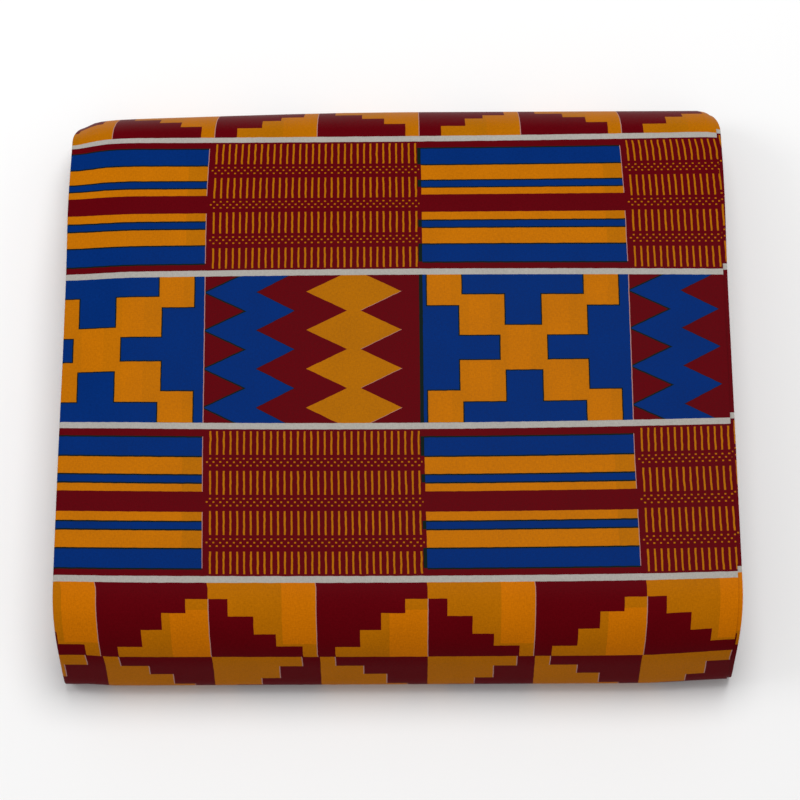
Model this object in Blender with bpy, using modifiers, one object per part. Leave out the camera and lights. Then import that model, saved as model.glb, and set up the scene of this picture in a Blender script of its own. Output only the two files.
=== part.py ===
"""Six yards of wax print cotton, folded in four along its length and wound flat into a pack.

The cloth is one sheet. Its four plies lie together as one layer, and that layer is wound from the
middle of the pack outwards, so a section across the pack is a single line that runs back and forth.
The pack lies on the plane z = 0. Its wound edges are the front (-Y) and the back (+Y), its folded
edge is at -X and its selvedges are at +X. The cloth ends under the pack, near the back.
"""
import math
from collections import namedtuple

import bpy

# Driving dimensions, in metres
CLOTH_WIDTH = 1.16
PLIES = 4
PACK_WIDTH = CLOTH_WIDTH / PLIES
PACK_HEIGHT = 0.046
LAYER = 0.0013
PASSES = 22
CORE_START = -0.063
CLOTH_END = 0.098

# The first pass lies a quarter of a pitch from the winding's middle, and each next one half a pitch more
PITCH = (PACK_HEIGHT - LAYER) / (PASSES - 1)
FIRST_PASS = 0.25
CORE_HEIGHT = (FIRST_PASS + (PASSES - 1) / 2) * PITCH + LAYER / 2

# Places along a flat pass, as shares of its way from front to back, closer together where it sinks
FLAT_STATIONS = (0.0, 0.12, 0.62, 0.75, 0.88, 1.0)

# Steps round a fold of the inner and of the outer turns
FOLD_STEPS_INNER = 7
FOLD_STEPS_OUTER = 12
OUTER_TURNS = 4

# Places across the pack, as shares of its width, closer together at its edges
STATIONS = (0.0, 0.025, 0.065, 0.5, 0.93, 0.975, 1.0)

# One row for each wound edge. The fold starts at core and reaches out by reach times its own height.
# upper and lower are the powers of its rounding, 2 for a circle and more for a squarer corner, and
# lean is how far the foot of the edge stands out past its middle.
Edge = namedtuple("Edge", "side core reach upper lower lean")
FRONT = Edge(side=-1, core=0.1075, reach=1.14, upper=2.4, lower=5.0, lean=0.0060)
BACK = Edge(side=1, core=0.1172, reach=0.61, upper=1.6, lower=3.5, lean=0.0050)
LEAN_FROM = 0.040
LEAN_SPAN = 0.070

# Where the pack is pressed thinner. share of the height is lost once x and y are past start + span,
# and a row with no start for x runs right across.
Sink = namedtuple("Sink", "share x_start x_span y_start y_span")
SINKS = (
    Sink(0.29, None, None, 0.031, 0.132),
    Sink(0.02, None, None, -0.085, -0.063),
    Sink(0.05, -0.114, -0.032, -0.055, 0.060),
    Sink(0.08, -0.126, -0.020, 0.065, 0.045),
)

# Where an edge is drawn in along Y, on one side of the middle. depth is taken off once both x and
# the distance from the middle are past their start + span.
Tuck = namedtuple("Tuck", "side depth x_start x_span y_start y_span")
TUCKS = (
    Tuck(-1, 0.0008, -0.120, -0.015, 0.095, 0.040),
    Tuck(-1, 0.0020, 0.100, 0.049, 0.095, 0.040),
    Tuck(1, 0.0053, 0.005, -0.196, 0.105, 0.036),
    Tuck(1, 0.0036, -0.135, -0.010, 0.105, 0.036),
    Tuck(1, 0.0042, 0.137, 0.009, 0.105, 0.036),
)

# The pack spreads along X by this share towards the back, and its ends are drawn in where it folds
SPREAD = 0.009
SPREAD_FROM = 0.030
SPREAD_SPAN = 0.070
FOLD_DRAW = 0.0015

# How far each layer's edge wanders along X: each wave's height, turn in radians a pass, and start.
# The folds take up a little of the width, so the selvedges are short of it.
Wave = namedtuple("Wave", "height rate start")
FOLDED_EDGE = (Wave(0.0003, 1.9, 4.4), Wave(0.0002, 4.3, 0.4))
SELVEDGE = (Wave(0.0004, 2.3, 5.5), Wave(0.0003, 5.1, 6.0))
SELVEDGE_SHORT = 0.0009


def ease(t):
    """0 before 0, 1 after 1, and smooth between them."""
    t = min(1.0, max(0.0, t))
    return t * t * (3 - 2 * t)


def past(value, start, span):
    """How far value has come from start towards start + span, smoothly from 0 to 1."""
    return 1.0 if start is None else ease((value - start) / span)


def reach_of(turn):
    """Distance of the winding from the middle line, at a place counted in passes."""
    return (FIRST_PASS + turn / 2) * PITCH


def fold_points(edge, first_pass):
    """(pass, y, z, drawn) round one wound edge, from one pass to the next, without its two ends."""
    steps = FOLD_STEPS_OUTER if first_pass >= PASSES - 1 - OUTER_TURNS else FOLD_STEPS_INNER
    rises = edge.side > 0
    squareness = reach_of(first_pass) / reach_of(PASSES)
    points = []
    for step in range(1, steps):
        share = step / steps
        angle = math.pi * (share - 0.5) * (1 if rises else -1)
        turn = first_pass + share
        radius = reach_of(turn)
        full = edge.upper if angle > 0 else edge.lower
        power = 2 / (2 + (full - 2) * squareness)
        out = math.cos(angle) ** power
        up = math.copysign(radius * abs(math.sin(angle)) ** power, angle)
        y = edge.side * (edge.core + edge.reach * radius * out)
        points.append((turn, y, CORE_HEIGHT + up, FOLD_DRAW * out ** 3))
    return points


def flat_points(index):
    """The same along a flat pass. Even ones run to the front above the middle, odd ones back below it."""
    above = index % 2 == 0
    front = -FRONT.core
    back = BACK.core
    if index == 0:
        back = CORE_START
    if index == PASSES - 1:
        back = CLOTH_END
    z = CORE_HEIGHT + (1 if above else -1) * reach_of(index)
    points = [(index, front + (back - front) * share, z, 0.0) for share in FLAT_STATIONS]
    return points[::-1] if above else points


def section():
    """The winding's whole section, from the core to the cloth's end."""
    points = []
    for index in range(PASSES):
        points += flat_points(index)
        if index < PASSES - 1:
            points += fold_points(FRONT if index % 2 == 0 else BACK, index)
    return points


def wander(waves, turn):
    return sum(wave.height * math.sin(wave.rate * turn + wave.start) for wave in waves)


def settle(x, y, z):
    """Moves a point of the even winding to where it lies in the pressed, slightly slack pack."""
    level = 1 - 2 * z / PACK_HEIGHT
    side = FRONT if y < 0 else BACK
    settled_y = y + side.side * side.lean * level * past(abs(y), LEAN_FROM, LEAN_SPAN)
    for tuck in TUCKS:
        if tuck.side * y > 0:
            near = past(x, tuck.x_start, tuck.x_span) * past(abs(y), tuck.y_start, tuck.y_span)
            settled_y -= tuck.side * tuck.depth * near
    lost = 0.0
    for sink in SINKS:
        lost += sink.share * past(x, sink.x_start, sink.x_span) * past(y, sink.y_start, sink.y_span)
    spread = 1 + SPREAD * past(y, SPREAD_FROM, SPREAD_SPAN)
    return x * spread, settled_y, LAYER / 2 + (z - LAYER / 2) * (1 - lost)


def winding_grid():
    """Rows of points, one for each step of the section, each running across the pack."""
    rows = []
    for turn, y, z, drawn in section():
        left = -PACK_WIDTH / 2 + wander(FOLDED_EDGE, turn) + drawn
        right = PACK_WIDTH / 2 - SELVEDGE_SHORT + wander(SELVEDGE, turn) - drawn
        rows.append([settle(left + (right - left) * share, y, z) for share in STATIONS])
    return rows


def centred(rows):
    """The same rows, with the middle of the pack's box over the origin."""
    xs = [point[0] for row in rows for point in row]
    ys = [point[1] for row in rows for point in row]
    middle_x = (min(xs) + max(xs)) / 2
    middle_y = (min(ys) + max(ys)) / 2
    return [[(x - middle_x, y - middle_y, z) for x, y, z in row] for row in rows]


def cloth_material():
    """Printed cotton: its overall colour is the print's dark red."""
    material = bpy.data.materials.new("wax_print_cotton")
    material.use_nodes = True
    shader = material.node_tree.nodes["Principled BSDF"]
    shader.inputs["Base Color"].default_value = (0.22, 0.035, 0.012, 1.0)
    shader.inputs["Roughness"].default_value = 0.75
    shader.inputs["Metallic"].default_value = 0.0
    return material


def make_cloth(collection):
    """The wound cloth: an open sheet over the grid, given its layer's thickness by Solidify."""
    rows = centred(winding_grid())
    across = len(STATIONS)
    vertices = [point for row in rows for point in row]
    faces = []
    for row in range(len(rows) - 1):
        for column in range(across - 1):
            corner = row * across + column
            faces.append((corner, corner + 1, corner + across + 1, corner + across))
    mesh = bpy.data.meshes.new("wax_print_cloth")
    mesh.from_pydata(vertices, [], faces)
    mesh.materials.append(cloth_material())
    mesh.shade_smooth()
    cloth = bpy.data.objects.new("wax_print_cloth", mesh)
    collection.objects.link(cloth)
    thickness = cloth.modifiers.new("layer", "SOLIDIFY")
    thickness.thickness = LAYER
    thickness.offset = 0.0
    thickness.use_even_offset = True
    thickness.use_rim = True
    return cloth


def clear_scene():
    for old in list(bpy.data.objects):
        bpy.data.objects.remove(old, do_unlink=True)


def main():
    clear_scene()
    collection = bpy.data.collections.new("wax_print_pack")
    bpy.context.scene.collection.children.link(collection)
    make_cloth(collection)


main()
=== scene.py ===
"""Six yards of wax print cotton, folded in four along its length and wound flat into a pack.

The cloth is drawn as one thin sheet: its four plies run across the pack and turn back at its edges,
and the layer that they make is wound from the middle of the pack outwards, on the folds of the
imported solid. The print is worked out at every point from the cloth's own flat coordinates.
"""
import math
from collections import namedtuple

import bpy
import numpy as np
from mathutils import Matrix, Vector


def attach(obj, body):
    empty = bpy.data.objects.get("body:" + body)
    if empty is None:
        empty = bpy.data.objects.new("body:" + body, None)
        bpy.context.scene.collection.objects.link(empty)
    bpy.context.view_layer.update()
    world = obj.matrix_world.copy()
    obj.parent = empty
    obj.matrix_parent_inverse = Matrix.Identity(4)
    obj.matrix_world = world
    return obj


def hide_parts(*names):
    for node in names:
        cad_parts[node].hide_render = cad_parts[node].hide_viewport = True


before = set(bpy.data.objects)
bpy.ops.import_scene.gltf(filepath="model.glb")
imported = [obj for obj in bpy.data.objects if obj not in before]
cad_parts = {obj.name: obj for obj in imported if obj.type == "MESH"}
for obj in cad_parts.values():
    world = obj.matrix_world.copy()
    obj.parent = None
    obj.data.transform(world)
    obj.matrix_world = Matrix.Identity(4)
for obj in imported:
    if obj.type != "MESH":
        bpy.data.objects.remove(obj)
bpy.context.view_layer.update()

MM = 0.001

# The pack's sizes and tables, as in the solid's source, in metres
CLOTH_WIDTH = 1.16
PLIES = 4
PACK_WIDTH = CLOTH_WIDTH / PLIES
PACK_HEIGHT = 0.046
LAYER = 0.0013
PASSES = 22
CORE_START = -0.063
CLOTH_END = 0.098
PITCH = (PACK_HEIGHT - LAYER) / (PASSES - 1)
FIRST_PASS = 0.25
CORE_HEIGHT = (FIRST_PASS + (PASSES - 1) / 2) * PITCH + LAYER / 2

Edge = namedtuple("Edge", "side core reach upper lower lean")
FRONT = Edge(side=-1, core=0.1075, reach=1.14, upper=2.4, lower=5.0, lean=0.0060)
BACK = Edge(side=1, core=0.1172, reach=0.61, upper=1.6, lower=3.5, lean=0.0050)
LEAN_FROM = 0.040
LEAN_SPAN = 0.070

Sink = namedtuple("Sink", "share x_start x_span y_start y_span")
SINKS = (
    Sink(0.29, None, None, 0.031, 0.132),
    Sink(0.02, None, None, -0.085, -0.063),
    Sink(0.05, -0.114, -0.032, -0.055, 0.060),
    Sink(0.08, -0.126, -0.020, 0.065, 0.045),
)

Tuck = namedtuple("Tuck", "side depth x_start x_span y_start y_span")
TUCKS = (
    Tuck(-1, 0.0008, -0.120, -0.015, 0.095, 0.040),
    Tuck(-1, 0.0020, 0.100, 0.049, 0.095, 0.040),
    Tuck(1, 0.0053, 0.005, -0.196, 0.105, 0.036),
    Tuck(1, 0.0036, -0.135, -0.010, 0.105, 0.036),
    Tuck(1, 0.0042, 0.137, 0.009, 0.105, 0.036),
)

SPREAD = 0.009
SPREAD_FROM = 0.030
SPREAD_SPAN = 0.070
FOLD_DRAW = 0.0015

Wave = namedtuple("Wave", "height rate start")
FOLDED_EDGE = (Wave(0.0003, 1.9, 4.4), Wave(0.0002, 4.3, 0.4))
SELVEDGE = (Wave(0.0004, 2.3, 5.5), Wave(0.0003, 5.1, 6.0))
SELVEDGE_SHORT = 0.0009

# The cloth itself: its thickness, and the distance between plies of one layer
COTTON = 0.24 * MM
PLY_PITCH = 0.40 * MM

# How the plies' edges lie: the top ply's selvedge is short of the next ply's, and the inner pair's
# fold at the left is nested inside the outer pair's
TOP_PLY_SHORT = 1.9 * MM
LOOP_SHORT = 1.2 * MM
NESTED = 0.9 * MM
FOLD_BULGE = 0.8 * MM

# How far along the cloth each ply's print lies from the top ply's
PLY_SLIP = {0: 0.0, 1: -2.6 * MM, 2: -2.6 * MM, 3: 0.0}

# How far the printed lines stray towards the back, at the left, the middle and the right of the top
Drift = namedtuple("Drift", "along left middle right")
DRIFTS = (
    Drift(-0.260, 0.0, 0.0, 0.0),
    Drift(-0.180, 1.0 * MM, 0.3 * MM, 0.3 * MM),
    Drift(-0.102, 1.4 * MM, 0.6 * MM, 1.5 * MM),
    Drift(-0.033, 1.5 * MM, 0.3 * MM, 1.9 * MM),
    Drift(0.039, -1.4 * MM, -0.3 * MM, -0.9 * MM),
    Drift(0.108, 0.6 * MM, 0.2 * MM, 1.8 * MM),
    Drift(0.160, 0.0, 0.0, 1.0 * MM),
    Drift(0.240, 0.0, 0.0, 0.0),
)

# And how far its blocks stray towards the right, at the same three places. Two rows close together
# stand where one band of the print ends and the next one begins.
STRAYS = (
    Drift(-0.260, 0.0, 0.0, 0.0),
    Drift(-0.170, 2.6 * MM, 1.9 * MM, 0.2 * MM),
    Drift(-0.138, 2.6 * MM, 1.9 * MM, 0.2 * MM),
    Drift(-0.137, 2.0 * MM, 1.6 * MM, 0.7 * MM),
    Drift(-0.103, 2.0 * MM, 1.6 * MM, 0.7 * MM),
    Drift(-0.102, 1.1 * MM, 1.0 * MM, 0.3 * MM),
    Drift(-0.045, 0.2 * MM, 0.0, -0.9 * MM),
    Drift(0.039, -0.5 * MM, -0.3 * MM, -0.7 * MM),
    Drift(0.075, -0.2 * MM, -0.4 * MM, -1.8 * MM),
    Drift(0.104, 1.2 * MM, -0.6 * MM, -3.1 * MM),
    Drift(0.110, 1.4 * MM, -0.6 * MM, -4.2 * MM),
    Drift(0.145, 2.4 * MM, -0.2 * MM, -3.6 * MM),
    Drift(0.240, 0.0, 0.0, 0.0),
)

# The left and right places' distance from the middle, and how many times that far the drift goes on
DRIFT_HALF = 0.130
DRIFT_LIMIT = 1.1

# Camera, from the photograph's perspective: focal length on a 36 mm sensor, tilt from straight
# down, distance to the middle of the view on the pack's top, and turn about its own axis
SENSOR = 36.0
LENS = 126.0
TILT = math.radians(20.7)
DISTANCE = 1.207
AIM = Vector((0.0013, -0.0190, PACK_HEIGHT))
ROLL = math.radians(0.26)

# The point that the lamps face
LIGHTS_AIM = Vector((0.0, 0.0, 0.02))


def ease(t):
    """0 before 0, 1 after 1, and smooth between them."""
    t = np.clip(t, 0.0, 1.0)
    return t * t * (3 - 2 * t)


def past(value, start, span):
    """How far value has come from start towards start + span, smoothly from 0 to 1."""
    return 1.0 if start is None else ease((value - start) / span)


def reach_of(turn):
    """Distance of the winding from the middle line, at a place counted in passes."""
    return (FIRST_PASS + turn / 2) * PITCH


def wander(waves, turn):
    return sum(wave.height * np.sin(wave.rate * turn + wave.start) for wave in waves)


def settle(x, y, z):
    """Moves points of the even winding to where they lie in the pressed, slightly slack pack."""
    level = 1 - 2 * z / PACK_HEIGHT
    front = y < 0
    lean = np.where(front, -FRONT.lean, BACK.lean)
    settled_y = y + lean * level * past(np.abs(y), LEAN_FROM, LEAN_SPAN)
    for tuck in TUCKS:
        near = past(x, tuck.x_start, tuck.x_span) * past(np.abs(y), tuck.y_start, tuck.y_span)
        settled_y -= np.where(tuck.side * y > 0, tuck.side * tuck.depth * near, 0.0)
    lost = 0.0
    for sink in SINKS:
        lost = lost + sink.share * past(x, sink.x_start, sink.x_span) * past(y, sink.y_start, sink.y_span)
    spread = 1 + SPREAD * past(y, SPREAD_FROM, SPREAD_SPAN)
    return x * spread, settled_y, LAYER / 2 + (z - LAYER / 2) * (1 - lost)


# Rows: places along the cloth, from the core to its outer end

Row = namedtuple("Row", "turn y out up side reach")
# Steps over a flat pass and round a fold, for the turns inside and for those that show
FLAT_INNER = (0.0, 0.12, 0.37, 0.62, 0.75, 0.88, 1.0)
FLAT_OUTER_STEPS = 44
FLAT_NEXT_STEPS = 20
FOLD_INNER_STEPS = 9
FOLD_NEXT_STEPS = 16
FOLD_OUTER_STEPS = 30


def flat_rows(index):
    """One flat pass. Even ones run to the front above the middle, odd ones back below it."""
    above = index % 2 == 0
    front = -FRONT.core
    back = BACK.core
    if index == 0:
        back = CORE_START
    if index == PASSES - 1:
        back = CLOTH_END
    if index >= PASSES - 2:
        shares = np.linspace(0, 1, FLAT_OUTER_STEPS + 1)
    elif index == PASSES - 3:
        shares = np.linspace(0, 1, FLAT_NEXT_STEPS + 1)
    else:
        shares = np.array(FLAT_INNER)
    rows = [Row(index, front + (back - front) * s, 0.0, 1.0 if above else -1.0, 0, 0.0) for s in shares]
    return rows[::-1] if above else rows


def fold_rows(edge, first_pass):
    """Round one wound edge, from one pass to the next, without its two ends."""
    if first_pass >= PASSES - 3:
        steps = FOLD_OUTER_STEPS
    else:
        steps = FOLD_NEXT_STEPS if first_pass >= PASSES - 5 else FOLD_INNER_STEPS
    squareness = reach_of(first_pass) / reach_of(PASSES)
    rows = []
    for step in range(1, steps):
        share = step / steps
        angle = math.pi * (share - 0.5) * (1 if edge.side > 0 else -1)
        full = edge.upper if angle > 0 else edge.lower
        power = 2 / (2 + (full - 2) * squareness)
        out = math.cos(angle) ** power
        up = math.copysign(abs(math.sin(angle)) ** power, angle)
        rows.append(Row(first_pass + share, edge.side * edge.core, out, up, edge.side, edge.reach))
    return rows


def cloth_rows():
    """The whole way along the cloth."""
    rows = []
    for index in range(PASSES):
        rows += flat_rows(index)
        if index < PASSES - 1:
            rows += fold_rows(FRONT if index % 2 == 0 else BACK, index)
    return rows


def top_rows(rows):
    """The numbers of the rows that lie flat on the pack's top."""
    return [number for number, row in enumerate(rows) if row.turn == PASSES - 2 and row.out == 0.0]


# Columns: places across the cloth, from the top ply's selvedge to the second ply's

Column = namedtuple("Column", "ply level share shift")
TOP_SHARES = (1.0, 0.996, 0.985, 0.97, 0.95, 0.92, 0.88, 0.82, 0.72, 0.62, 0.52, 0.42, 0.33,
              0.24, 0.18, 0.145, 0.12, 0.10, 0.085, 0.07, 0.056, 0.043, 0.031, 0.02, 0.011, 0.004, 0.0)
INNER_SHARES = (0.0, 0.005, 0.014, 0.028, 0.045, 0.065, 0.12, 0.33, 0.62, 0.90, 0.98, 1.0)
OUTER_LOOP_STEPS = 8
INNER_LOOP_STEPS = 6
INNER_LOOP_REACH = 0.5 * MM
# Where the cloth's length is measured, on the top ply and on the lowest
TOP_COLUMN = TOP_SHARES.index(0.52)
LOWEST_SHARE = 0.62


def ply_level(ply):
    """A ply's distance from the middle of its layer, outwards, in ply pitches."""
    return (PLIES - 1) / 2 - ply


def loop_columns(from_ply, to_ply, share, direction, reach, steps):
    """Round the fold between two plies."""
    start, end = ply_level(from_ply), ply_level(to_ply)
    middle, radius = (start + end) / 2, (start - end) / 2
    columns = []
    for step in range(1, steps):
        angle = math.pi * step / steps
        ply = from_ply if step <= steps / 2 else to_ply
        level = middle + radius * math.cos(angle)
        columns.append(Column(ply, level, share, direction * reach * math.sin(angle)))
    return columns


def cloth_columns():
    """The whole way across the cloth, through its four plies and round the folds between them."""
    top = [Column(0, ply_level(0), share, 0.0) for share in TOP_SHARES]
    under = [Column(3, ply_level(3), share, 0.0) for share in INNER_SHARES]
    back_over = [Column(2, ply_level(2), share, 0.0) for share in reversed(INNER_SHARES)]
    second = [Column(1, ply_level(1), share, 0.0) for share in INNER_SHARES]
    return (
        top + loop_columns(0, 3, 0.0, -1, FOLD_BULGE, OUTER_LOOP_STEPS)
        + under + loop_columns(3, 2, 1.0, 1, INNER_LOOP_REACH, INNER_LOOP_STEPS)
        + back_over + loop_columns(2, 1, 0.0, -1, INNER_LOOP_REACH, INNER_LOOP_STEPS)
        + second
    )


def ply_edges(ply):
    """Where a ply's straight part begins at the left and ends at the right."""
    left = -PACK_WIDTH / 2 + FOLD_BULGE + (NESTED if ply in (1, 2) else 0.0)
    right = PACK_WIDTH / 2 - SELVEDGE_SHORT
    right -= {0: TOP_PLY_SHORT, 1: 0.0, 2: LOOP_SHORT, 3: LOOP_SHORT}[ply]
    return left, right


def cloth_points(rows, columns):
    """The sheet's points as an array of rows by columns by 3, and where each lies across the pack."""
    turn = np.array([row.turn for row in rows], float)[:, None]
    place_y = np.array([row.y for row in rows])[:, None]
    out = np.array([row.out for row in rows])[:, None]
    up = np.array([row.up for row in rows])[:, None]
    side = np.array([row.side for row in rows], float)[:, None]
    reach = np.array([row.reach for row in rows])[:, None]
    level = np.array([column.level for column in columns])[None, :]
    radius = reach_of(turn) + level * PLY_PITCH
    y = place_y + side * reach * radius * out
    z = CORE_HEIGHT + radius * up
    x = np.empty_like(y)
    for number, column in enumerate(columns):
        left, right = ply_edges(column.ply)
        left = left + wander(FOLDED_EDGE, turn[:, 0]) + FOLD_DRAW * out[:, 0] ** 3
        right = right + wander(SELVEDGE, turn[:, 0]) - FOLD_DRAW * out[:, 0] ** 3
        x[:, number] = left + (right - left) * column.share + column.shift
    return np.stack(settle(x, y, z), axis=-1)


def lengths_along(points, column):
    """Distance along the cloth to each row, measured on one column."""
    steps = np.linalg.norm(np.diff(points[:, column], axis=0), axis=1)
    return np.concatenate([[0.0], np.cumsum(steps)])


def strayed(drifts, place, across):
    """How far the print strays, by rows of Drift at three places across the pack."""
    starts = [drift.along for drift in drifts]
    left, middle, right = (
        np.interp(place, starts, [getattr(drift, name) for drift in drifts], 0.0, 0.0)
        for name in ("left", "middle", "right")
    )
    share = np.clip(across / DRIFT_HALF, -DRIFT_LIMIT, DRIFT_LIMIT)
    return middle + (right - left) / 2 * share + ((right + left) / 2 - middle) * share ** 2


def print_places(columns, place):
    """Each point's place on the flat print: across it, and along it towards the back."""
    across = []
    for column in columns:
        left, right = ply_edges(column.ply)
        across.append((1 - column.share) * left + column.share * right + column.shift)
    across = np.array(across)[None, :]
    slip = np.array([PLY_SLIP[column.ply] for column in columns])[None, :]
    place = place[:, None]
    return np.stack([
        across - strayed(STRAYS, place, across), place + slip - strayed(DRIFTS, place, across)
    ], -1)


# The map for baking, in shares of its width and height: the outer turn's print has most of it, the
# pass under the pack a block beside that, and all the rest is laid out small in a few lanes
SHOWN_WIDTH = 0.72
LANES = 4
LANES_FROM = 0.725
LANES_WIDTH = 0.274
LANES_HEIGHT = 0.82
LANE_SLACK = 1.02
UNDER_FROM = 0.84
MAP_MARGIN = 0.002
# The cut ends lie above the lanes: how far above them, how high they are, and how far apart
CUT_ABOVE = 0.004
CUT_HEIGHT = 0.002
CUT_APART = 0.006
# Widths in a lane, against one another: a whole ply, a step round a fold between plies, what each
# other step has besides its own size near a ply's edge and elsewhere, a rim, and the gap at the end
PLY_WIDTH = 5.0
LOOP_STEP_WIDTH = 0.6
EDGE_STEP_WIDTH = 0.35
STEP_WIDTH = 0.05
RIM_WIDTH = 1.0
GAP_WIDTH = 0.6
EDGE_SHARE = 0.03
# The print that shows begins under the pack, this far before the cloth's end
SHOWN_LEAD = 0.012
SHARP_FROM = math.radians(50)


def stacked(widths):
    """Where each width starts when they lie one after another, as shares of the whole, and its share."""
    widths = np.asarray(widths, float) / np.sum(widths)
    return np.cumsum(widths) - widths, widths


def lane_widths(columns):
    """How wide each step from column to column is in a lane."""
    widths = []
    for before, after in zip(columns, columns[1:]):
        least, most = sorted((before.share, after.share))
        at_edge = least < EDGE_SHARE or most > 1 - EDGE_SHARE
        if before.shift != after.shift:
            widths.append(LOOP_STEP_WIDTH)
        else:
            widths.append((most - least) * PLY_WIDTH + (EDGE_STEP_WIDTH if at_edge else STEP_WIDTH))
    return widths


def corner_places(solid, down, across):
    """For each corner of each face, its side of the sheet and its row and column in the grid."""
    corners = np.empty(len(solid.loops), int)
    solid.loops.foreach_get("vertex_index", corners)
    side, place = np.divmod(corners.reshape(-1, 4), down * across)
    row, column = np.divmod(place, across)
    return side, row, column


def outer_side(solid, rows, across):
    """Which side of the sheet, 0 or 1, faces outwards, from the heights at a point of the pack's top."""
    top = top_rows(rows)
    point = top[len(top) // 2] * across + TOP_COLUMN
    opposite = point + len(rows) * across
    return 0 if solid.vertices[point].co.z > solid.vertices[opposite].co.z else 1


def add_baking_map(solid, rows, columns, along):
    """Lays the sheet's faces out for baking. The solid has the grid's faces twice over, then its rims."""
    across = len(columns)
    side, row, column = corner_places(solid, len(rows), across)
    first_row, first_column = row.min(1), column.min(1)
    outer = outer_side(solid, rows, across)
    turn = np.array([one.turn for one in rows])[first_row]
    rim = side.min(1) != side.max(1)
    length = along[-1] / LANES
    lane = np.minimum((along[first_row] / length).astype(int), LANES - 1)
    starts = np.array([along[first_row[lane == number]].min() for number in range(LANES)])
    # A lane has both sides of every column, then the two rims that run along the cloth, then a gap
    widths = lane_widths(columns)
    from_left, width = stacked(widths + widths + [RIM_WIDTH, RIM_WIDTH, GAP_WIDTH])
    part = first_column + (side.min(1) != outer) * (across - 1)
    part = np.where(rim, 2 * (across - 1) + (first_column > 0), part)
    step = np.where(rim[:, None], side, column - first_column[:, None])
    in_lanes = lane[:, None] + from_left[part][:, None] + step * width[part][:, None]
    u = LANES_FROM + LANES_WIDTH / LANES * in_lanes
    v = LANES_HEIGHT * (along[row] - starts[lane][:, None]) / (length * LANE_SLACK)
    # The cut ends
    cut = (rim & (row.min(1) == row.max(1)))[:, None]
    last_end = turn[:, None] > 1
    u = np.where(cut, LANES_FROM + LANES_WIDTH * (column / across), u)
    v = np.where(cut, LANES_HEIGHT + CUT_ABOVE + CUT_HEIGHT * side + last_end * CUT_APART, v)
    # The print that shows, and beside it the pass under the pack
    shares = np.array([1 - one.share for one in columns])
    face = ~rim & (side.min(1) == outer) & (column.max(1) < len(TOP_SHARES))
    begin = min(
        number for number, one in enumerate(rows)
        if one.turn >= PASSES - 3 and one.y > CLOTH_END - SHOWN_LEAD
    )
    for wanted, left, right, low, high in (
        ((first_row >= begin) & (turn < PASSES - 1), 0.0, SHOWN_WIDTH, 0.0, 1.0),
        (turn >= PASSES - 1, LANES_FROM, LANES_FROM + LANES_WIDTH, UNDER_FROM, 1.0),
    ):
        chosen = face & wanted
        reach = along[row[chosen]]
        u[chosen] = left + MAP_MARGIN + (right - left - 2 * MAP_MARGIN) * shares[column[chosen]]
        share = (reach - reach.min()) / np.ptp(reach)
        v[chosen] = low + MAP_MARGIN + (high - low - 2 * MAP_MARGIN) * share
    layer = solid.uv_layers.new(name="OFBake")
    layer.data.foreach_set("uv", np.stack([u, v], -1).astype(np.float32).ravel())


def open_sheet(points, flat):
    """The grid of points as a sheet of no thickness, with each point's place on the flat print."""
    count, across = points.shape[:2]
    index = np.arange(count * across).reshape(count, across)
    quads = np.stack([index[:-1, :-1], index[:-1, 1:], index[1:, 1:], index[1:, :-1]], -1).reshape(-1, 4)
    mesh = bpy.data.meshes.new("wax_print_cloth_sheet")
    mesh.from_pydata(points.reshape(-1, 3).tolist(), [], quads.tolist())
    print_map = mesh.uv_layers.new(name="Print")
    loops = np.empty(len(mesh.loops), int)
    mesh.loops.foreach_get("vertex_index", loops)
    print_map.data.foreach_set("uv", flat[loops].astype(np.float32).ravel())
    cloth = bpy.data.objects.new("wax_print_cloth_sheet", mesh)
    bpy.context.scene.collection.objects.link(cloth)
    return cloth


def thicken(cloth):
    """Gives the sheet the cotton's thickness."""
    sheet = cloth.data
    body = cloth.modifiers.new("cotton", "SOLIDIFY")
    body.thickness = COTTON
    body.offset = 0.0
    body.use_even_offset = True
    graph = bpy.context.evaluated_depsgraph_get()
    solid = bpy.data.meshes.new_from_object(cloth.evaluated_get(graph))
    cloth.modifiers.clear()
    cloth.data = solid
    solid.shade_smooth()
    solid.set_sharp_from_angle(angle=SHARP_FROM)
    bpy.data.meshes.remove(sheet)


def make_cloth():
    """The wound cloth and its measured length."""
    rows, columns = cloth_rows(), cloth_columns()
    points = cloth_points(rows, columns)
    along = lengths_along(points, TOP_COLUMN)
    top = top_rows(rows)
    top_y = points[top, TOP_COLUMN, 1]
    # The print is placed from the middle of the pack's top, and runs to the back
    order = np.argsort(top_y)
    origin = np.interp(0.0, top_y[order], along[top][order])
    flat = print_places(columns, origin - along).reshape(-1, 2)
    low, high = points.min(axis=(0, 1)), points.max(axis=(0, 1))
    middle = (low + high) / 2
    points = points - np.array([middle[0], middle[1], low[2] - COTTON / 2])
    cloth = open_sheet(points, flat)
    thicken(cloth)
    add_baking_map(cloth.data, rows, columns, along)
    lowest = [n for n, column in enumerate(columns) if column.ply == 3 and column.share == LOWEST_SHARE]
    return cloth, (along[-1] + lengths_along(points, lowest[0])[-1]) / 2


# The print, in millimetres: across the pack from its middle, and along the cloth towards the back.
# It repeats along the cloth: half a band of steps three times, then bands of blocks between lines.
STEPS_HALF = 33.46
LINE = 2.86
BARS_BAND = 66.05
CROSS_BAND = 69.87
REPEAT = 3 * STEPS_HALF + 4 * LINE + 2 * BARS_BAND + CROSS_BAND
FIRST_STEPS = -204.22
BLOCKS_START = 11.2
BLOCKS_REPEAT = 185.0
FIRST_BLOCK = 90.0
STEPS_START = 10.5
STEP_BLOCK = 46.25

# A line's or a dot's place and half its width
Mark = namedtuple("Mark", "middle half")

# The blue and the black screens start a little before their block
EARLY = Mark(BLOCKS_REPEAT - 0.8, 0.8)

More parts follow.
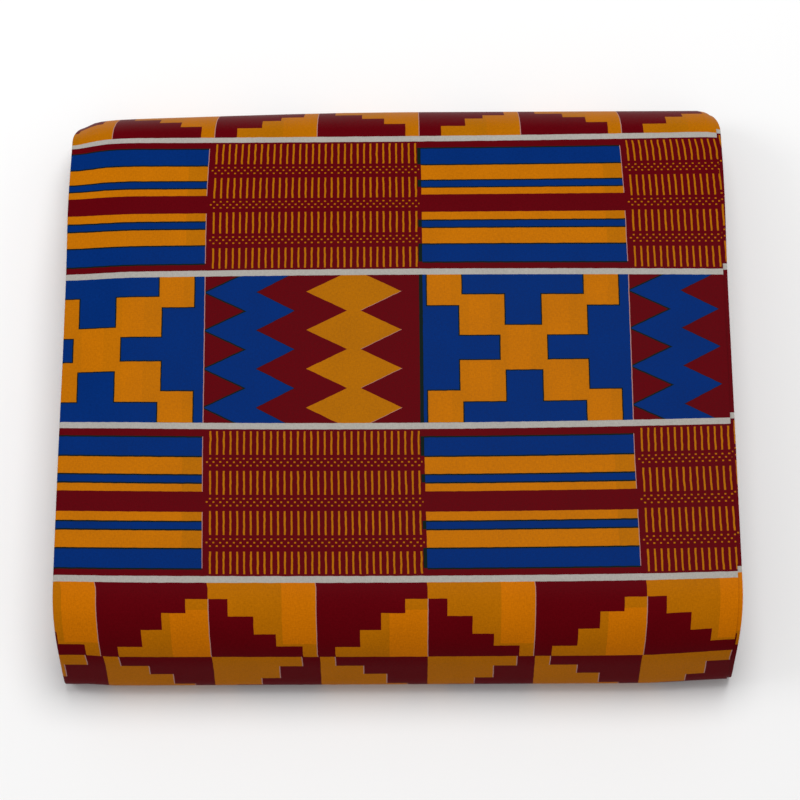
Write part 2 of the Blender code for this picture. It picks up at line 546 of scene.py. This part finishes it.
# Bands of the striped block, as distances from its middle, painted one over another
Stripe = namedtuple("Stripe", "ink half")
STRIPES = (Stripe("blue", 29.645), Stripe("yellow", 20.675), Stripe("blue", 12.385),
           Stripe("yellow", 8.625), Stripe("red", 4.585))
# Their black hairlines lie a little to the back, and their yellow is duller near the block's end
HAIRLINE_SHIFT = 0.25
HAIRLINE_HALF = 0.34
DULL_END = 8.5
STRIPES_END = Mark(FIRST_BLOCK + 0.12, 0.14)
STRIPES_END_ROWS = (4.6, 29.6)

# The woven block: its edges, and in each row of it the bars, then three lines of dots
WEAVE_ACROSS = (FIRST_BLOCK + 1.6, BLOCKS_REPEAT - 0.9)
WEAVE_DEPTH = BARS_BAND - 0.95
WEAVE_ROW = 18.1
WEAVE_START = 0.5
BAR_PITCH = 2.875
BAR_ROWS = (0.44, 11.2)
BAR = Mark(1.44, 0.39)
DOT = Mark(1.44, 0.40)
DOT_ROWS = (Mark(13.0, 0.34), Mark(16.1, 0.34))
OFFSET_DOT_ROW = Mark(14.55, 0.34)

# The cross: boxes of a quarter of it, from its centre, its black rim, and its patches of dull yellow
CROSS_CENTRE = (43.7, 34.9)
Box = namedtuple("Box", "x_from x_to y_from y_to")
CROSS_BOXES = (Box(26.8, 41.8, 20.2, 34.9), Box(8.2, 27.8, 6.0, 25.2), Box(-10.1, 10.1, -10.5, 10.5))
CROSS_RIM = 0.55
PATCH_START = 2.7
PATCH_REPEAT = 17.2
PATCH_CLEAR = 9.5

# The zigzags: points and valleys come in turn along the cloth. Each side leans by its own amount
# from valley to point, and its black line lies at the blue's edge.
ZIGZAG_HALF = 9.15
ZIGZAG_POINT = 7.85
ZIGZAG_LEFT_LEAN = 17.9
ZIGZAG_RIGHT_LEAN = 16.5
ZIGZAG_WIDTH = 22.5
ZIGZAG_BLUE_FROM = 0.45
ZIGZAG_LEFT_LINE = Mark(-0.2, 0.70)
ZIGZAG_RIGHT_LINE = Mark(ZIGZAG_WIDTH, 0.35)
ZIGZAG_START = Mark(0.15, 0.18)
# The diamonds between them: their middle, their half width at a valley and how much less at a point
DIAMOND_MIDDLE = 64.9
DIAMOND_HALF = 20.6
DIAMOND_TAPER = 17.7
DIAMOND_RIM = 0.35

# The steps: the share of a block's width where the ink changes, beyond each depth into a half band.
# The first half band is the front's, and the last one the back's.
Step = namedtuple("Step", "beyond share")
Half = namedtuple("Half", "falling rising")
HALVES = (
    Half(falling=(Step(0.0, 1.1), Step(7.0, 0.815), Step(12.9, 0.595), Step(20.1, 0.40), Step(28.0, 0.17)),
         rising=(Step(0.0, 0.0), Step(6.9, 0.18), Step(14.2, 0.41), Step(21.9, 0.61), Step(27.6, 0.85))),
    Half(falling=(Step(0.0, 1.0), Step(6.6, 0.81), Step(11.5, 0.615), Step(20.4, 0.40), Step(27.2, 0.14)),
         rising=(Step(0.0, 0.0), Step(5.0, 0.20), Step(10.0, 0.44), Step(17.0, 0.615), Step(26.9, 0.83))),
    Half(falling=(Step(0.0, 1.0), Step(7.0, 0.86), Step(16.5, 0.64), Step(20.8, 0.46), Step(27.6, 0.22)),
         rising=(Step(0.0, 0.0), Step(6.9, 0.17), Step(14.4, 0.44), Step(19.9, 0.66), Step(25.5, 0.87))),
)
# The second of each two blocks starts this much later in the front's half band
SECOND_LATER = -0.9
# The bright screen starts here in a block. In the front's half band it lies beyond the first depth
# in a falling block and ends at the second in a rising one.
BRIGHT_FROM = 31.0
BRIGHT_DEPTHS = (11.5, 26.5)
STEP_EDGE = Mark(0.1, 0.2)

# Inks: linear colours
INKS = {
    "black": (0.004, 0.011, 0.008),
    "red": (0.098, 0.0006, 0.0030),
    "blue": (0.0004, 0.0215, 0.146),
    "mustard": (0.385, 0.125, 0.0006),
    "ochre": (0.415, 0.128, 0.0006),
    "dull yellow": (0.445, 0.133, 0.0006),
    "yellow": (0.470, 0.138, 0.0006),
    "orange": (0.530, 0.145, 0.0006),
    "pink": (0.38, 0.20, 0.18),
    "white": (0.371, 0.352, 0.322),
}
INK_NAMES = tuple(INKS)

# Noise, as changes in each millimetre and size: how the print's edges waver, how its bars waver, the
# cotton's grain, which is drawn out along the threads, and its slow change of shade
Noise = namedtuple("Noise", "scale amount")
EDGE_NOISE = Noise(0.3, 0.12)
BAR_NOISE = Noise(0.3, 0.175)
GRAIN_NOISE = Noise(2.0, 0.12)
SHADE_NOISE = Noise(0.06, 0.06)
GRAIN_DRAWN = 0.35
# Each use of the noise is moved by this much more, so that no two are alike
NOISE_MOVE = (37.0, 71.0)

THREAD_HEIGHT = 0.2 * MM
BUMP_STRENGTH = 0.5
ROUGHNESS = 0.4
GLOSS = 0.012


class Field:
    """A number that varies over the cloth. Each operation adds one Math node to the tree."""

    tree = None

    def __init__(self, socket):
        self.socket = socket

    def node(self, operation, *values):
        node = Field.tree.nodes.new("ShaderNodeMath")
        node.operation = operation
        for socket, value in zip(node.inputs, (self,) + values):
            if isinstance(value, Field):
                Field.tree.links.new(value.socket, socket)
            else:
                socket.default_value = value
        return Field(node.outputs[0])

    def __add__(self, other):
        return self.node("ADD", other)

    def __sub__(self, other):
        return self.node("SUBTRACT", other)

    def __mul__(self, other):
        return self.node("MULTIPLY", other)

    def __and__(self, other):
        return self.node("MINIMUM", other)

    def __or__(self, other):
        return self.node("MAXIMUM", other)

    def __invert__(self):
        return self.node("MULTIPLY_ADD", -1.0, 1.0)

    def apart(self, other):
        return (self - other).node("ABSOLUTE")

    def below(self, other):
        return self.node("LESS_THAN", other)

    def above(self, other):
        return self.node("GREATER_THAN", other)

    def between(self, low, high):
        return self.node("COMPARE", (low + high) / 2, (high - low) / 2)

    def at(self, mark):
        return self.node("COMPARE", mark.middle, mark.half)

    def wrap(self, period):
        return self.node("FLOORED_MODULO", period)

    def fold(self, half):
        """Up from 0 to half and down again, over and over."""
        return self.node("PINGPONG", half)


def ink_value(name):
    return (INK_NAMES.index(name) + 0.5) / len(INK_NAMES)


class Painter:
    """Keeps which ink lies at each point, as one number, and paints further inks over it."""

    def __init__(self, tree, first):
        self.tree = tree
        self.value = ink_value(first)

    def paint(self, where, ink):
        node = self.tree.nodes.new("ShaderNodeMix")
        node.data_type = "FLOAT"
        self.tree.links.new(where.socket, node.inputs[0])
        for socket, value in ((node.inputs[2], self.value), (node.inputs[3], ink_value(ink))):
            if isinstance(value, (float, int)):
                socket.default_value = value
            else:
                self.tree.links.new(value, socket)
        self.value = node.outputs[0]


def paint_stripes(painter, here, x, w):
    """Rows of stripes in the first block, mirrored about the row's middle."""
    side = w.apart(BARS_BAND / 2)
    outer_blue, outer_yellow, inner_blue, inner_yellow = (stripe.half for stripe in STRIPES[:4])
    dark_rows = side.between(outer_yellow, outer_blue) | side.between(inner_yellow, inner_blue)
    painter.paint(here & x.at(EARLY) & dark_rows, "black")
    inside = here & x.below(FIRST_BLOCK)
    for stripe in STRIPES:
        painter.paint(inside & side.below(stripe.half), stripe.ink)
        if stripe.ink == "yellow":
            end = inside & x.above(FIRST_BLOCK - DULL_END)
            painter.paint(end & side.below(stripe.half), "ochre")
    hairline_side = (w - HAIRLINE_SHIFT).apart(BARS_BAND / 2)
    for stripe in STRIPES[:4]:
        painter.paint(inside & hairline_side.at(Mark(stripe.half, HAIRLINE_HALF)), "black")
    painter.paint(here & x.at(STRIPES_END) & side.between(*STRIPES_END_ROWS), "pink")


def paint_weave(painter, here, x, w):
    """Rows of short upright bars with rows of dots between them."""
    inside = here & x.between(*WEAVE_ACROSS) & w.below(WEAVE_DEPTH)
    row = (w - WEAVE_START).wrap(WEAVE_ROW)
    bar = (x + noise_at(painter.tree, BAR_NOISE, 5)).wrap(BAR_PITCH)
    painter.paint(inside & row.between(*BAR_ROWS) & bar.at(BAR), "mustard")
    painter.paint(inside & (row.at(DOT_ROWS[0]) | row.at(DOT_ROWS[1])) & bar.at(DOT), "mustard")
    offset_bar = (x + BAR.middle).wrap(BAR_PITCH)
    painter.paint(inside & row.at(OFFSET_DOT_ROW) & offset_bar.at(DOT), "mustard")


def paint_cross(painter, here, x, w):
    """A stepped yellow cross on blue."""
    painter.paint(here & x.at(EARLY), "black")
    inside = here & x.below(FIRST_BLOCK)
    painter.paint(inside, "blue")
    p = x.apart(CROSS_CENTRE[0])
    q = w.apart(CROSS_CENTRE[1])
    outside = None
    for box in CROSS_BOXES:
        across = p.apart((box.x_from + box.x_to) / 2) - (box.x_to - box.x_from) / 2
        along = q.apart((box.y_from + box.y_to) / 2) - (box.y_to - box.y_from) / 2
        outside = across | along if outside is None else outside & (across | along)
    painter.paint(inside & outside.below(CROSS_RIM), "black")
    cross = inside & outside.below(0.0)
    painter.paint(cross, "yellow")
    painter.paint(cross & (x - PATCH_START).wrap(PATCH_REPEAT).above(PATCH_CLEAR), "dull yellow")


def paint_zigzags(painter, here, x, w):
    """Blue zigzags and mustard diamonds on red."""
    inside = here & x.above(FIRST_BLOCK)
    place = x - FIRST_BLOCK
    slope = (w - ZIGZAG_POINT).fold(ZIGZAG_HALF) * (1 / ZIGZAG_HALF)
    left = place - slope * ZIGZAG_LEFT_LEAN
    right = place - slope * ZIGZAG_RIGHT_LEAN
    painter.paint(inside & left.at(ZIGZAG_LEFT_LINE) & place.above(0.0), "black")
    painter.paint(inside & right.at(ZIGZAG_RIGHT_LINE), "black")
    painter.paint(inside & left.above(ZIGZAG_BLUE_FROM) & right.below(ZIGZAG_WIDTH), "blue")
    outside = place.apart(DIAMOND_MIDDLE) - (slope * -DIAMOND_TAPER + DIAMOND_HALF)
    falling = (w - ZIGZAG_POINT).wrap(2 * ZIGZAG_HALF).below(ZIGZAG_HALF)
    rim = outside.below(DIAMOND_RIM) & place.above(DIAMOND_MIDDLE) & falling
    painter.paint(inside & rim, "pink")
    painter.paint(inside & outside.below(0.0), "mustard")
    painter.paint(here & place.at(ZIGZAG_START), "pink")


def stair(depth, steps):
    """The share of a block's width at which the ink changes at this depth."""
    share = steps[0].share
    for before, step in zip(steps, steps[1:]):
        share = depth.above(step.beyond) * (step.share - before.share) + share
    return share


def paint_steps(painter, here, x, q):
    """Checks of dark and yellow, each cut by a stair that turns over at the middle of the band."""
    first = q.below(STEPS_HALF)
    last = q.above(2 * STEPS_HALF)
    inverted = ~(first | last)
    place = (x - STEPS_START).wrap(2 * STEP_BLOCK)
    middle = first * SECOND_LATER + STEP_BLOCK
    second = (place - middle).above(0.0)
    # Blocks fall and rise in turn, and change over in the last half
    falling = second.apart(last)
    local = place - second * middle
    depth = q.fold(STEPS_HALF)
    share = 0.0
    for chosen, half in zip((first, inverted, last), HALVES):
        rise = stair(depth, half.rising)
        share = chosen * (rise + falling * (stair(depth, half.falling) - rise)) + share
    edge = local - share * STEP_BLOCK
    dark = edge.below(0.0).apart(inverted)
    painter.paint(here, "ochre")
    painter.paint(here & last, "mustard")
    ends = (falling & depth.below(BRIGHT_DEPTHS[0])) | (~falling & depth.above(BRIGHT_DEPTHS[1]))
    bright = here & local.above(BRIGHT_FROM) & ~inverted & ~(ends & first)
    painter.paint(bright, "orange")
    painter.paint(bright & last, "ochre")
    painter.paint(here & dark, "red")
    # The ground shows as a light line where dark starts on the right of yellow
    painter.paint(here & inverted & edge.at(STEP_EDGE), "pink")
    painter.paint(here & local.at(STEP_EDGE) & dark, "pink")


def noise_at(tree, noise, number, across=1.0, along=1.0):
    """Noise over the flat cloth. Under 1, across and along draw it out that way."""
    node = tree.nodes.new("ShaderNodeTexNoise")
    node.noise_dimensions = "2D"
    node.inputs["Scale"].default_value = noise.scale
    node.inputs["Detail"].default_value = 1.0
    shift = tree.nodes.new("ShaderNodeVectorMath")
    shift.operation = "MULTIPLY_ADD"
    shift.inputs[1].default_value = (across / MM, along / MM, 0.0)
    shift.inputs[2].default_value = (number * NOISE_MOVE[0], number * NOISE_MOVE[1], 0.0)
    tree.links.new(tree.nodes["Print place"].outputs[0], shift.inputs[0])
    tree.links.new(shift.outputs[0], node.inputs["Vector"])
    return (Field(node.outputs[0]) - 0.5) * (2 * noise.amount)


def paint_print(tree):
    """Paints each band and block in its place. Returns the number of the ink at each point."""
    parts = tree.nodes.new("ShaderNodeSeparateXYZ")
    tree.links.new(tree.nodes["Print place"].outputs[0], parts.inputs[0])
    x = Field(parts.outputs[0]) * (1 / MM) + noise_at(tree, EDGE_NOISE, 1)
    s = Field(parts.outputs[1]) * (1 / MM) + noise_at(tree, EDGE_NOISE, 2)
    t = (s - FIRST_STEPS).wrap(REPEAT)
    across = (x - BLOCKS_START).wrap(BLOCKS_REPEAT)
    first_bars = 3 * STEPS_HALF + LINE
    rows_repeat = BARS_BAND + CROSS_BAND + 2 * LINE
    w = (t * -1.0 + (first_bars + BARS_BAND)).wrap(rows_repeat)
    painter = Painter(tree, "white")
    steps_here = t.below(3 * STEPS_HALF)
    paint_steps(painter, steps_here, x, t * -1.0 + 3 * STEPS_HALF)
    other = ~steps_here
    bars_here = other & w.below(BARS_BAND)
    painter.paint(bars_here, "red")
    paint_weave(painter, bars_here, across, w)
    paint_stripes(painter, bars_here, across, w)
    cross_here = other & w.between(BARS_BAND + LINE, BARS_BAND + LINE + CROSS_BAND)
    painter.paint(cross_here, "red")
    deeper = w - (BARS_BAND + LINE)
    paint_zigzags(painter, cross_here, across, deeper)
    paint_cross(painter, cross_here, across, deeper)
    return painter.value


def add_ink_colours(tree, value):
    """The colour of each numbered ink."""
    ramp = tree.nodes.new("ShaderNodeValToRGB")
    ramp.color_ramp.interpolation = "CONSTANT"
    elements = ramp.color_ramp.elements
    while len(elements) < len(INKS):
        elements.new(1.0)
    for number, name in enumerate(INK_NAMES):
        elements[number].position = number / len(INKS)
        elements[number].color = INKS[name] + (1.0,)
    tree.links.new(value, ramp.inputs[0])
    return ramp.outputs[0]


def make_print_material():
    """Printed cotton: its ink shaded by the threads, which also give it a little relief."""
    material = bpy.data.materials.new("printed_cotton")
    material.use_nodes = True
    tree = material.node_tree
    Field.tree = tree
    shader = tree.nodes["Principled BSDF"]
    place = tree.nodes.new("ShaderNodeUVMap")
    place.name = "Print place"
    place.uv_map = "Print"
    colour = add_ink_colours(tree, paint_print(tree))
    along = noise_at(tree, GRAIN_NOISE, 3, along=GRAIN_DRAWN)
    across = noise_at(tree, GRAIN_NOISE, 6, across=GRAIN_DRAWN)
    grain = along + across + noise_at(tree, SHADE_NOISE, 4) + 1.0
    shade = tree.nodes.new("ShaderNodeVectorMath")
    shade.operation = "SCALE"
    tree.links.new(colour, shade.inputs[0])
    tree.links.new(grain.socket, shade.inputs["Scale"])
    tree.links.new(shade.outputs[0], shader.inputs["Base Color"])
    # The lighter threads stand up a little, and shine less
    bump = tree.nodes.new("ShaderNodeBump")
    bump.inputs["Strength"].default_value = BUMP_STRENGTH
    bump.inputs["Distance"].default_value = THREAD_HEIGHT
    tree.links.new(grain.socket, bump.inputs["Height"])
    tree.links.new(bump.outputs[0], shader.inputs["Normal"])
    tree.links.new((grain * ROUGHNESS).socket, shader.inputs["Roughness"])
    shader.inputs["Specular IOR Level"].default_value = GLOSS
    shader.inputs["Sheen Weight"].default_value = 0.0
    shader.inputs["Metallic"].default_value = 0.0
    return material


def make_camera():
    data = bpy.data.cameras.new("camera")
    data.sensor_width = SENSOR
    data.lens = LENS
    camera = bpy.data.objects.new("camera", data)
    bpy.context.scene.collection.objects.link(camera)
    back = Vector((0.0, -math.sin(TILT), math.cos(TILT)))
    camera.location = AIM + back * DISTANCE
    turn = Matrix.Rotation(-ROLL, 4, "Z")
    camera.matrix_world = (
        Matrix.Translation(camera.location) @ (-back).to_track_quat("-Z", "Y").to_matrix().to_4x4() @ turn
    )
    bpy.context.scene.camera = camera


def make_floor():
    bpy.ops.mesh.primitive_plane_add(size=6.0)
    floor = bpy.context.active_object
    floor.name = "floor"
    material = bpy.data.materials.new("pale_floor")
    material.use_nodes = True
    shader = material.node_tree.nodes["Principled BSDF"]
    shader.inputs["Base Color"].default_value = (0.92, 0.92, 0.92, 1.0)
    shader.inputs["Roughness"].default_value = 0.9
    floor.data.materials.append(material)


def add_area_light(name, place, size, watts):
    data = bpy.data.lights.new(name, "AREA")
    data.shape = "DISK"
    data.size = size
    data.energy = watts
    light = bpy.data.objects.new(name, data)
    light.location = place
    light.rotation_mode = "QUATERNION"
    light.rotation_quaternion = (LIGHTS_AIM - Vector(place)).to_track_quat("-Z", "Y")
    bpy.context.scene.collection.objects.link(light)


def light_the_scene():
    world = bpy.data.worlds.new("studio")
    world.use_nodes = True
    world.node_tree.nodes["Background"].inputs["Color"].default_value = (1.0, 1.0, 1.0, 1.0)
    world.node_tree.nodes["Background"].inputs["Strength"].default_value = 0.45
    bpy.context.scene.world = world
    add_area_light("overhead", place=(0.15, 0.55, 1.6), size=1.1, watts=17.0)
    add_area_light("side", place=(-1.2, 0.1, 1.0), size=0.8, watts=4.5)
    bpy.context.scene.view_settings.view_transform = "Standard"


make_camera()
make_floor()
light_the_scene()
cloth, cloth_length = make_cloth()
cloth.data.materials.append(make_print_material())
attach(cloth, "root")
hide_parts("wax_print_cloth")
